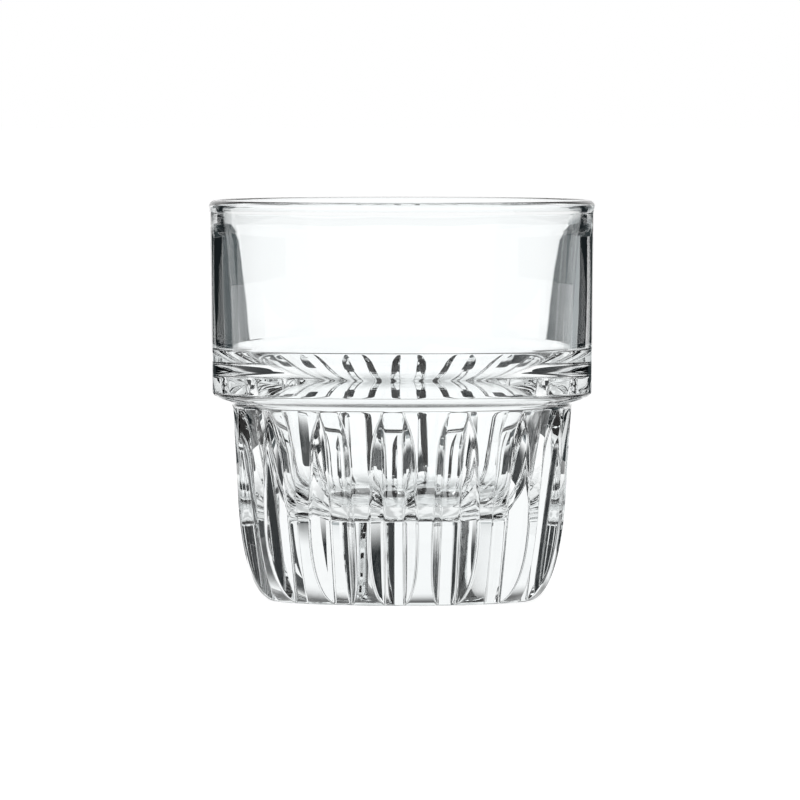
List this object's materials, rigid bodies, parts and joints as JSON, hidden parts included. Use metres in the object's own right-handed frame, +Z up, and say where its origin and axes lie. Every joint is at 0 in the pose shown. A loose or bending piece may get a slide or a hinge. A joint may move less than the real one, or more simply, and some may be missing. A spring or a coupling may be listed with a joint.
{
  "type": "juice glass",
  "caption": "Stackable clear pressed-glass tumbler for juice: plain wide drinking band, stepped shoulder, narrower fluted body and a thick solid base.",
  "frame": {"origin": "centre of the standing ring, on the surface that the glass stands on", "axes": "+Z up along the axis of the glass, -Y through the middle of the flute that faces the viewer, +X to the viewer's right"},
  "size_m": [0.0724, 0.0724, 0.075],
  "materials": {
    "clear_glass": "fire-polished clear soda-lime glass"
  },
  "bodies": {
    "root": {"glass_body": "clear_glass"}
  },
  "joints": []
}
